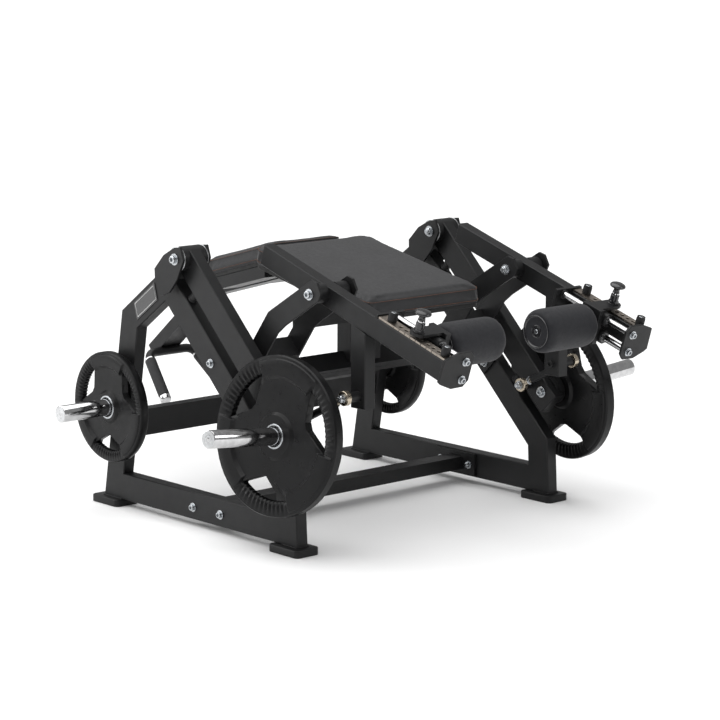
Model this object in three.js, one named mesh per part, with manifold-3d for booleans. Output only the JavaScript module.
// Lying leg curl, plate loaded, one working side for each leg.
// Millimetres, +Z up. +X points to the foot end, -Y is the user's left.
// Built with x = 0 midway between the feet, then moved so that the origin is
// on the floor below the middle of the whole length.
import * as THREE from 'three';
import { mergeVertices } from 'three/addons/utils/BufferGeometryUtils.js';
import Module from 'manifold-3d';

const wasm = await Module();
wasm.setup();

// ---- driving dimensions -------------------------------------------------
const MIDDLE_X = 33.2;           // middle of the whole length
const GAP = 0.3;                 // running gap between separate pieces
const TUBE = 40;                 // width of every frame tube
const DEEP = 80;                 // depth of the side frame tubes
const FRAME_Y = 504;             // side frame centre plane from the middle
const FOOT = { l: 127, w: 86, h: 21.7 };
const APEX = [-50, 780];         // swing arm pivot (x, z)
const EAR_IN = 44;               // inner face of an ear from the frame plane
const EAR_T = 8;
const ARM_DEG = 44.6;            // slope of the hanging swing arm
const ARM_L = 686;
const HORN_ROOT = [409, 333];    // weight horn axis in the frame plane
const HORN_LEAN = [0.1143, 0.1228];
const HORN_R = 25;
const HORN_L = 340;
const PLATE = { r: 223.5, t: 44, seat: 41 };
const STORE = { x: -351, z: 310, tip: 243, r: 165, t: 39, seat: 37 };
const KNEE = [416, 722];         // lever pivot (x, z)
const LEVER_Y = 385;             // lever centre plane
const LEVER_DEG = 18;
const LEVER_H = 60;
const KNEE_DROP = 4;             // pivot sits above the lever centre line
const ROD_Y = 331;               // guide rods
const ROD_M = [24.3, -28.5];
const ROD_R = 10;
const COLLAR_S = 212;
const END_S = 495;
const PIN_S = 363;               // carriage position along the lever
const PITCH = 22;
const BALL = [561, 453];         // connecting rod, lever end
const LINK = [355, 351];         // connecting rod, swing arm end
const LINK_Y = 453;
const ROLLER = { r: 65, in: 84, out: 287, m: -2 };
const BEAM = [121, 446];         // upper cross beam centre

// ---- colours ------------------------------------------------------------
const steel = (c, r, m) => new THREE.MeshStandardMaterial({ color: c, roughness: r, metalness: m });
const BLACK = steel(0x2b2c2f, 0.55, 0.4);
const ZINC = steel(0xc6cacd, 0.3, 0.95);
const CHROME = steel(0xe4e6e8, 0.12, 1);
const BRONZE = steel(0xc9b79c, 0.35, 0.9);
const RUBBER = steel(0x141415, 0.7, 0);
const LEATHER = steel(0x3a3b40, 0.7, 0);
const FOAM = steel(0x222329, 0.85, 0);

// ---- small solid modelling kit -------------------------------------------
function toManifold(geometry) {
  const g = geometry.clone();
  g.deleteAttribute('normal');
  g.deleteAttribute('uv');
  const m = mergeVertices(g, 1e-4);
  const mesh = new wasm.Mesh({
    numProp: 3,
    vertProperties: Float32Array.from(m.attributes.position.array),
    triVerts: Uint32Array.from(m.index.array),
  });
  mesh.merge();
  return new wasm.Manifold(mesh);
}
function toGeometry(solid) {
  const mesh = solid.getMesh();
  const g = new THREE.BufferGeometry();
  g.setAttribute('position', new THREE.BufferAttribute(Float32Array.from(mesh.vertProperties), 3));
  g.setIndex(new THREE.BufferAttribute(Uint32Array.from(mesh.triVerts), 1));
  return g;
}
function join(...parts) {
  return toGeometry(parts.map(toManifold).reduce((a, b) => a.add(b)));
}
function cut(body, ...tools) {
  return toGeometry(tools.map(toManifold).reduce((a, b) => a.subtract(b), toManifold(body)));
}

// A flat outline in (x, z), given thickness along Y about the plane y.
function slab(outline, y, width, soft = 0, holes = []) {
  const flat = (points) => points.map(([a, b]) => new THREE.Vector2(a, b));
  const shape = new THREE.Shape(flat(outline));
  for (const hole of holes) shape.holes.push(new THREE.Path(flat(hole)));
  const g = new THREE.ExtrudeGeometry(shape, {
    depth: width - 2 * soft, bevelEnabled: soft > 0, bevelThickness: soft,
    bevelSize: soft, bevelOffset: -soft, bevelSegments: 1, curveSegments: 8,
  });
  g.rotateX(Math.PI / 2);
  g.translate(0, y + width / 2 - soft, 0);
  return g;
}
function block(x0, x1, y0, y1, z0, z1) {
  const g = new THREE.BoxGeometry(x1 - x0, y1 - y0, z1 - z0);
  g.translate((x0 + x1) / 2, (y0 + y1) / 2, (z0 + z1) / 2);
  return g;
}
// The turn that carries +Y onto the given direction.
function turnTo(way) {
  return new THREE.Quaternion().setFromUnitVectors(new THREE.Vector3(0, 1, 0), way.clone().normalize());
}
// Round bar between two points.
function bar(from, to, r, sides = 16) {
  const a = new THREE.Vector3(...from);
  const b = new THREE.Vector3(...to);
  const way = b.clone().sub(a);
  const g = new THREE.CylinderGeometry(r, r, way.length(), sides);
  g.applyQuaternion(turnTo(way));
  g.translate((a.x + b.x) / 2, (a.y + b.y) / 2, (a.z + b.z) / 2);
  return g;
}
function across(x, z, y0, y1, r, sides = 16) {
  return bar([x, Math.min(y0, y1), z], [x, Math.max(y0, y1), z], r, sides);
}
function ball(at, r) {
  const g = new THREE.SphereGeometry(r, 10, 6);
  g.translate(...at);
  return g;
}
// Stack of rings turned about an axis: list of [distance, radius].
function turned(at, way, profile, sides = 20) {
  const pts = profile.map(([h, r]) => new THREE.Vector2(r, h));
  pts.unshift(new THREE.Vector2(0, profile[0][0]));
  pts.push(new THREE.Vector2(0, profile[profile.length - 1][0]));
  const g = new THREE.LatheGeometry(pts, sides);
  g.applyQuaternion(turnTo(new THREE.Vector3(...way)));
  g.translate(...at);
  return g;
}
const rad = (d) => d * Math.PI / 180;

// Point on the swing arm: s along it from the pivot, n square to it, up and forward.
const ARM_U = [Math.cos(rad(ARM_DEG)), -Math.sin(rad(ARM_DEG))];
const ARM_N = [-ARM_U[1], ARM_U[0]];
const onArm = (s, n) => [APEX[0] + s * ARM_U[0] + n * ARM_N[0], APEX[1] + s * ARM_U[1] + n * ARM_N[1]];

// Point on the lever: s along it from the pivot, m square to it, upward.
const LEV_U = [Math.cos(rad(LEVER_DEG)), -Math.sin(rad(LEVER_DEG))];
const LEV_M = [-LEV_U[1], LEV_U[0]];
const onLever = (s, m) => [
  KNEE[0] + s * LEV_U[0] + m * LEV_M[0],
  KNEE[1] - KNEE_DROP + s * LEV_U[1] + m * LEV_M[1],
];
const boxOn = (place, s0, s1, m0, m1) => [place(s0, m0), place(s1, m0), place(s1, m1), place(s0, m1)];
function span(y0, y1) {
  return [(y0 + y1) / 2, Math.abs(y1 - y0)];
}

// ---- frame ----------------------------------------------------------------
const OUTER = [[-440, 22], [446, 22], [436, 192], [-129, 751.5], [-344, 596]];
const WINDOW = [[-345, 102], [-270.6, 550.4], [-137.1, 646.9], [354.6, 160.1], [358, 102]];
const EAR = [[-93, -75], [-62, -112], [-27, -99], [10, -57], [38, 0],
  [25, 37], [-2, 34], [-53, 7], [-95, -36]];
const HEAD = [[-143, 700], [-92, 705], [-88, 744], [-108, 768], [-145, 744]];

function sideFrame(side) {
  const y = side * FRAME_Y;
  const ear = EAR.map(([a, b]) => [APEX[0] + a, APEX[1] + b]);
  const parts = [slab(OUTER, y, TUBE, 2.5, [WINDOW]), slab(HEAD, y, 2 * EAR_IN + 1)];
  for (const k of [-1, 1]) parts.push(slab(ear, y + k * (EAR_IN + EAR_T / 2), EAR_T, 1));
  parts.push(across(STORE.x, STORE.z, y + side * 15, y + side * (STORE.seat - GAP), 38, 24));
  const bore = across(APEX[0], APEX[1], y - 70, y + 70, 10 + GAP);
  const seat = across(STORE.x, STORE.z, y - side * 60, y + side * 80, 12 + GAP);
  return cut(join(...parts), bore, seat);
}
function foot(side, x0) {
  const r = 14;
  const x1 = x0 + FOOT.l;
  const y0 = side * FRAME_Y - FOOT.w / 2;
  const y1 = y0 + FOOT.w;
  const shape = new THREE.Shape();
  shape.moveTo(x0 + r, y0);
  shape.lineTo(x1 - r, y0);
  shape.absarc(x1 - r, y0 + r, r, -Math.PI / 2, 0);
  shape.lineTo(x1, y1 - r);
  shape.absarc(x1 - r, y1 - r, r, 0, Math.PI / 2);
  shape.lineTo(x0 + r, y1);
  shape.absarc(x0 + r, y1 - r, r, Math.PI / 2, Math.PI);
  shape.lineTo(x0, y0 + r);
  shape.absarc(x0 + r, y0 + r, r, Math.PI, Math.PI * 1.5);
  const g = new THREE.ExtrudeGeometry(shape, {
    depth: FOOT.h - 3, bevelEnabled: true, bevelThickness: 1.5, bevelSize: 1.5,
    bevelOffset: -1.5, bevelSegments: 1, curveSegments: 2,
  });
  g.translate(0, 0, 1.5);
  return g;
}
function apexBolt(side) {
  const y = side * FRAME_Y;
  const half = [[41.3, 10], [41.3, 37], [43.7, 37], [43.7, 10], [52.4, 10], [52.4, 16], [66, 10]];
  const profile = [...half.map(([h, r]) => [-h, r]).reverse(), ...half];
  return turned([APEX[0], y, APEX[1]], [0, 1, 0], profile, 14);
}
function stopBlock(side, s, r) {
  const from = onArm(s, -74.9);
  const to = onArm(s, -42.2);
  const y = side * FRAME_Y;
  return bar([from[0], y, from[1]], [to[0], y, to[1]], r, 12);
}
function rearTube() {
  return block(-381, -341, -FRAME_Y + TUBE / 2 + GAP, FRAME_Y - TUBE / 2 - GAP, 208, 288);
}
function frontTube() {
  const end = FRAME_Y - TUBE / 2 - GAP;
  const parts = [block(19, 79, -end + 1, end - 1, 41, 81)];
  parts.push(block(-38, 136, end - 8, end, 27, 97));
  parts.push(block(-38, 136, -end, -end + 8, 27, 97));
  return join(...parts);
}

// ---- bench ------------------------------------------------------------------
const DIAG_U = [0.7106, -0.7036];
const DIAG_N = [0.7036, 0.7106];
const onBeam = (d, n) => [BEAM[0] + d * DIAG_U[0] + n * DIAG_N[0], BEAM[1] + d * DIAG_U[1] + n * DIAG_N[1]];
const GOOSE = [[158, 434], [172, 449], [230, 528], [280, 597], [312, 622], [451, 706], [462, 728],
  [446, 757], [423, 763], [371, 732], [240, 653], [187, 582], [113, 482], [120, 450]];
const HANDLE = [-782, 360];      // handle crossbar (x, z)
const hipUnder = (x) => 705.1 - 0.215 * x;
const chestUnder = (x) => 755.3 + 0.272 * x;

function benchFrame() {
  const end = FRAME_Y - TUBE / 2 - GAP;
  const parts = [slab(boxOn(onBeam, -30, 30, -20, 20), 0, 2 * end - 2)];
  const spine = [[300, hipUnder(300) - 41], [300, hipUnder(300)], [-106, chestUnder(-106)],
    [-570, 600], [-844, 373], [-818.5, 342], [-559, 562], [-106, 685]];
  parts.push(slab(spine.reverse(), 0, 80));
  const tray = [[-140, chestUnder(-140) - 38], [-140, chestUnder(-140)],
    [-375, chestUnder(-375)], [-375, chestUnder(-375) - 38]];
  parts.push(slab(tray.reverse(), 0, 288));
  parts.push(block(186, 236, -316, 316, 590, 648));
  parts.push(block(92, 150, -60, 60, 452, 655));
  for (const k of [-1, 1]) {
    parts.push(slab(boxOn(onBeam, -98, 98, -30, 30), k * (end - 4), 8, 1));
    parts.push(slab(GOOSE, k * (LEVER_Y + 66), 8, 1));
    parts.push(slab(GOOSE, k * (LEVER_Y - 66), 8, 1));
    const [cx, cz] = [192, 527];
    const brace = (a, b) => [cx + a * 0.754 - b * 0.657, cz + a * 0.657 + b * 0.754];
    parts.push(slab(boxOn(brace, -18, 18, -32, 32), k * LEVER_Y, 126));
  }
  const bores = [across(...HANDLE, -60, 60, 15)];
  for (const k of [-1, 1]) bores.push(across(...KNEE, k * 300, k * 470, 8 + GAP, 12));
  return cut(join(...parts), ...bores);
}
// A cushion: rounded plan, sloping with the surface below it.
function cushion(x0, x1, half, r, under, thick, lift) {
  const shape = new THREE.Shape();
  shape.moveTo(x0 + r, -half);
  shape.lineTo(x1 - r, -half);
  shape.absarc(x1 - r, -half + r, r, -Math.PI / 2, 0);
  shape.lineTo(x1, half - r);
  shape.absarc(x1 - r, half - r, r, 0, Math.PI / 2);
  shape.lineTo(x0 + r, half);
  shape.absarc(x0 + r, half - r, r, Math.PI / 2, Math.PI);
  shape.lineTo(x0, -half + r);
  shape.absarc(x0 + r, -half + r, r, Math.PI, Math.PI * 1.5);
  const soft = 8;
  const g = new THREE.ExtrudeGeometry(shape, {
    depth: thick - 2 * soft, bevelEnabled: true, bevelThickness: soft, bevelSize: soft,
    bevelOffset: -soft, bevelSegments: 1, curveSegments: 4,
  });
  const p = g.attributes.position;
  for (let i = 0; i < p.count; i += 1) {
    p.setZ(i, p.getZ(i) + soft + under(p.getX(i)) + lift);
  }
  return g;
}
function handlebar() {
  const parts = [across(...HANDLE, -92, 92, 14, 12)];
  for (const k of [-1, 1]) {
    parts.push(ball(alongGrip(k, 0), 14));
    parts.push(bar(alongGrip(k, 0), alongGrip(k, 1), 14, 12));
  }
  return join(...parts);
}
function alongGrip(side, t) {
  return [HANDLE[0] + 134 * t, side * (92 + 32 * t), HANDLE[1] - 128 * t];
}
function grip(side) {
  const sleeve = bar(alongGrip(side, 0.16), alongGrip(side, 0.93), 18, 16);
  return cut(sleeve, bar(alongGrip(side, 0), alongGrip(side, 1.1), 15 + GAP, 12));
}
function gripCap(side) {
  const cap = bar(alongGrip(side, 0.935), alongGrip(side, 1.03), 18.5, 16);
  return cut(cap, bar(alongGrip(side, 0.7), alongGrip(side, 1.005), 15 + GAP, 12));
}

// ---- swing arm and plates ------------------------------------------------
function hornWay(side) {
  const v = new THREE.Vector3(HORN_LEAN[0], side, HORN_LEAN[1]).normalize();
  return [v.x, v.y, v.z];
}
function onHorn(side, t) {
  const w = hornWay(side);
  return [HORN_ROOT[0] + t * w[0], side * FRAME_Y + t * w[1], HORN_ROOT[1] + t * w[2]];
}
function swingArm(side) {
  const y = side * FRAME_Y;
  const beam = slab(boxOn(onArm, 0, ARM_L, -41, 39), y, TUBE, 2.5);
  const hub = across(APEX[0], APEX[1], y - 41, y + 41, 35, 20);
  const collar = bar(onHorn(side, 8), onHorn(side, PLATE.seat - 1), 42, 20);
  const boss = across(LINK[0], LINK[1], y - side * 18, y - side * 42, 15, 12);
  const bore = across(APEX[0], APEX[1], y - 60, y + 60, 10 + GAP);
  const seat = bar(onHorn(side, -60), onHorn(side, 80), 13, 12);
  return cut(join(beam, hub, collar, boss), bore, seat);
}
function weightHorn(side) {
  const seat = PLATE.seat - 0.6;
  const profile = [[-34, 15], [-24, 15], [-24, 12], [seat, 12], [seat, HORN_R],
    [HORN_L - 3, HORN_R], [HORN_L, HORN_R - 3]];
  return turned([HORN_ROOT[0], side * FRAME_Y, HORN_ROOT[1]], hornWay(side), profile, 20);
}
// Disc with a bore and three hand openings, the first one turned up by spin degrees.
function triGrip(at, way, r, t, start, spin) {
  const polar = (radius, a) => new THREE.Vector2(radius * Math.cos(a), radius * Math.sin(a));
  const ring = (radius, n) => Array.from({ length: n }, (_, i) => polar(radius, Math.PI * 2 * i / n));
  const shape = new THREE.Shape(ring(r, 36));
  shape.holes.push(new THREE.Path(ring(HORN_R + 0.8, 20)));
  const half = rad(29);
  for (let k = 0; k < 3; k += 1) {
    const mid = rad(spin + 120 * k);
    const edge = [-1, -0.5, 0, 0.5, 1].map((f) => polar(r * 0.8, mid + f * half));
    const back = [0.2, -0.2].map((f) => polar(r * 0.52, mid + f * half));
    shape.holes.push(new THREE.Path([...edge, ...back]));
  }
  const g = new THREE.ExtrudeGeometry(shape, { depth: t, bevelEnabled: false });
  g.translate(0, 0, start);
  const w = new THREE.Vector3(...way).normalize();
  const ex = new THREE.Vector3(0, 0, 1).cross(w).normalize();
  const ey = w.clone().cross(ex);
  g.applyMatrix4(new THREE.Matrix4().makeBasis(ex, ey, w));
  g.translate(...at);
  return g;
}
function weightPlate(side) {
  const at = [HORN_ROOT[0], side * FRAME_Y, HORN_ROOT[1]];
  return triGrip(at, hornWay(side), PLATE.r, PLATE.t, PLATE.seat, side < 0 ? 21 : 25);
}
function storageHorn(side) {
  const profile = [[-34, 15], [-20.4, 15], [-20.4, 12], [STORE.seat, 12], [STORE.seat, HORN_R],
    [STORE.tip - 3, HORN_R], [STORE.tip, HORN_R - 3]];
  return turned([STORE.x, side * FRAME_Y, STORE.z], [0, side, 0], profile, 20);
}
function storedPlate(side) {
  const at = [STORE.x, side * FRAME_Y, STORE.z];
  return triGrip(at, [0, side, 0], STORE.r, STORE.t, STORE.seat + 1, 30);
}

// ---- leg lever --------------------------------------------------------------
const END_SHAPE = [[302, 36], [302, -34], [318, -52], [362, -53], [404, -36], [414, -28],
  [411, 36], [362, 53], [318, 52]];
// Flat plate square to the lever, outline given as (distance from the middle, m).
function squarePlate(side, outline, s0, s1, soft) {
  const pts = outline.map(([y, m]) => new THREE.Vector2(side * y, m));
  const g = new THREE.ExtrudeGeometry(new THREE.Shape(pts), {
    depth: s1 - s0 - 2 * soft, bevelEnabled: soft > 0, bevelThickness: soft,
    bevelSize: soft, bevelOffset: -soft, bevelSegments: 1,
  });
  g.translate(0, 0, soft);
  const u = new THREE.Vector3(LEV_U[0], 0, LEV_U[1]);
  const m = new THREE.Vector3(LEV_M[0], 0, LEV_M[1]);
  g.applyMatrix4(new THREE.Matrix4().makeBasis(m.clone().cross(u), m, u));
  const at = onLever(s0, 0);
  g.translate(at[0], 0, at[1]);
  return g;
}
function alongLever(s0, s1, m, y, r, sides = 16) {
  const a = onLever(s0, m);
  const b = onLever(s1, m);
  return bar([a[0], y, a[1]], [b[0], y, b[1]], r, sides);
}
function upFromLever(s, m0, m1, y, r, sides = 12) {
  const a = onLever(s, m0);
  const b = onLever(s, m1);
  return bar([a[0], y, a[1]], [b[0], y, b[1]], r, sides);
}
function lever(side) {
  const y = side * LEVER_Y;
  const half = LEVER_H / 2;
  const top = onLever(150, -half + 4);
  const beam = slab(boxOn(onLever, -273, END_S - GAP, -half, half), y, TUBE, 2.5);
  const leg = slab([[530, 417], [588, 417], [588, top[1] - 20], [530, top[1] + 10]], y, TUBE, 2.5);
  const hub = across(KNEE[0], KNEE[1], y - 60.5, y + 60.5, 25.8, 20);
  const rodSeat = slab(boxOn(onLever, COLLAR_S, COLLAR_S + 10, -46, 40), side * 335, 66, 1);
  const crest = slab(boxOn(onLever, COLLAR_S, COLLAR_S + 10, 20, 40), side * 382.5, 45, 1);
  const boss = across(BALL[0], BALL[1], y + side * 18, y + side * 58, 14, 12);
  const bore = across(KNEE[0], KNEE[1], y - 90, y + 90, 8 + GAP, 12);
  return cut(join(beam, leg, hub, rodSeat, crest, boss), bore);
}
function kneeBolt(side) {
  const half = [[70.4, 8], [70.4, 15], [74.5, 15], [83, 8]];
  const profile = [...half.map(([h, r]) => [-h, r]).reverse(), ...half];
  return turned([KNEE[0], side * LEVER_Y, KNEE[1]], [0, 1, 0], profile, 14);
}
function guideRod(side, m) {
  return alongLever(COLLAR_S + 10 + GAP, END_S - GAP, m, side * ROD_Y, ROD_R);
}
function endPlate(side) {
  return squarePlate(side, END_SHAPE, END_S, END_S + 8, 1);
}
function indexBar(side) {
  const half = LEVER_H / 2;
  const body = slab(boxOn(onLever, COLLAR_S + 12, END_S - GAP, half + GAP, half + 6), side * LEVER_Y, 34);
  const holes = [];
  for (let k = -3; k <= 4; k += 1) {
    holes.push(upFromLever(PIN_S + k * PITCH, half - 5, half + 12, side * LEVER_Y, 6, 8));
  }
  return cut(body, ...holes);
}
function stopPost(side, s) {
  return upFromLever(s, LEVER_H / 2 + 6 + GAP, LEVER_H / 2 + 33, side * LEVER_Y, 13);
}
function carriage(side) {
  const parts = [];
  const y0 = side * ROD_Y;
  for (const m of ROD_M) parts.push(alongLever(PIN_S - 45, PIN_S + 45, m, y0, 19, 14));
  const inner = span(side * 296, side * 315);
  parts.push(slab(boxOn(onLever, PIN_S - 36, PIN_S + 36, -50, 54), inner[0], inner[1], 1));
  const upper = span(side * 298, side * 386);
  parts.push(slab(boxOn(onLever, PIN_S - 24, PIN_S + 24, 46, 54), upper[0], upper[1]));
  parts.push(upFromLever(PIN_S, 46, 54, side * LEVER_Y, 24));
  parts.push(upFromLever(PIN_S, 50, 82, side * LEVER_Y, 12));
  const [ax, az] = onLever(PIN_S, ROLLER.m);
  parts.push(across(ax, az, side * 298, side * 92, 12, 16));
  const bores = ROD_M.map((m) => alongLever(PIN_S - 60, PIN_S + 60, m, y0, ROD_R + 0.4));
  bores.push(upFromLever(PIN_S, 30, 100, side * LEVER_Y, 5.4));
  return cut(join(...parts), ...bores);
}
function pullPin(side) {
  const at = onLever(PIN_S, 0);
  const profile = [[36.8, 5], [82.6, 5], [82.6, 9], [96, 9], [104, 13], [106, 23], [112, 23], [117, 14]];
  return turned([at[0], side * LEVER_Y, at[1]], [LEV_M[0], 0, LEV_M[1]], profile, 14);
}
function roller(side) {
  const [ax, az] = onLever(PIN_S, ROLLER.m);
  const long = ROLLER.out - ROLLER.in;
  const body = turned([ax, side * ROLLER.in, az], [0, side, 0],
    [[0, 50], [16, ROLLER.r], [long - 16, ROLLER.r], [long, 50]], 24);
  return cut(body, across(ax, az, side * (ROLLER.in - 20), side * (ROLLER.out + 20), 12.8, 16));
}
function linkRod(side) {
  const y = side * LINK_Y;
  const way = [BALL[0] - LINK[0], BALL[1] - LINK[1]];
  const long = Math.hypot(...way);
  const pt = (t) => [LINK[0] + way[0] * t / long, y, LINK[1] + way[1] * t / long];
  const parts = [bar(pt(14), pt(long - 14), 8, 12), bar(pt(44), pt(long - 44), 11, 12)];
  for (const [x, z] of [BALL, LINK]) parts.push(across(x, z, y - 8, y + 8, 21, 16));
  parts.push(across(LINK[0], LINK[1], y - side * 6, y - side * 20, 10, 12));
  parts.push(across(BALL[0], BALL[1], y + side * 6, y + side * 18, 10, 12));
  return join(...parts);
}

// ---- assembly ----------------------------------------------------------------
const group = new THREE.Group();
group.name = 'lying_leg_curl';
group.position.x = -MIDDLE_X;
function add(name, geometry, material) {
  const g = geometry.index ? geometry.toNonIndexed() : geometry;
  g.deleteAttribute('normal');
  g.computeVertexNormals();
  const mesh = new THREE.Mesh(g, material);
  mesh.name = name;
  group.add(mesh);
}

add('rear_cross_tube', rearTube(), BLACK);
add('front_cross_tube', frontTube(), BLACK);
add('bench_frame', benchFrame(), BLACK);
add('hip_pad', cushion(-98, 409, 232, 45, hipUnder, 60, 0.5), LEATHER);
add('chest_pad', cushion(-436, -106, 150, 30, chestUnder, 62, 0.5), LEATHER);
add('handlebar', handlebar(), BLACK);
for (const [tag, side] of [['left', -1], ['right', 1]]) {
  add(`${tag}_side_frame`, sideFrame(side), BLACK);
  add(`${tag}_foot_front`, foot(side, 344), BLACK);
  add(`${tag}_foot_rear`, foot(side, -477), BLACK);
  add(`${tag}_apex_bolt`, apexBolt(side), ZINC);
  add(`${tag}_upper_stop`, stopBlock(side, 95, 15), RUBBER);
  add(`${tag}_lower_stop`, stopBlock(side, 542, 17), RUBBER);
  add(`${tag}_grip`, grip(side), RUBBER);
  add(`${tag}_grip_cap`, gripCap(side), CHROME);
  add(`${tag}_storage_horn`, storageHorn(side), CHROME);
  add(`${tag}_storage_plate`, storedPlate(side), RUBBER);
  add(`${tag}_swing_arm`, swingArm(side), BLACK);
  add(`${tag}_weight_horn`, weightHorn(side), CHROME);
  add(`${tag}_weight_plate`, weightPlate(side), RUBBER);
  add(`${tag}_knee_bolt`, kneeBolt(side), ZINC);
  add(`${tag}_leg_lever`, lever(side), BLACK);
  add(`${tag}_guide_rod_upper`, guideRod(side, ROD_M[0]), CHROME);
  add(`${tag}_guide_rod_lower`, guideRod(side, ROD_M[1]), CHROME);
  add(`${tag}_end_plate`, endPlate(side), BLACK);
  add(`${tag}_index_bar`, indexBar(side), BRONZE);
  add(`${tag}_stop_post_rear`, stopPost(side, 259), RUBBER);
  add(`${tag}_stop_post_front`, stopPost(side, 474.5), RUBBER);
  add(`${tag}_carriage`, carriage(side), BLACK);
  add(`${tag}_pull_pin`, pullPin(side), RUBBER);
  add(`${tag}_roller`, roller(side), FOAM);
  add(`${tag}_link_rod`, linkRod(side), BRONZE);
}

export default group;
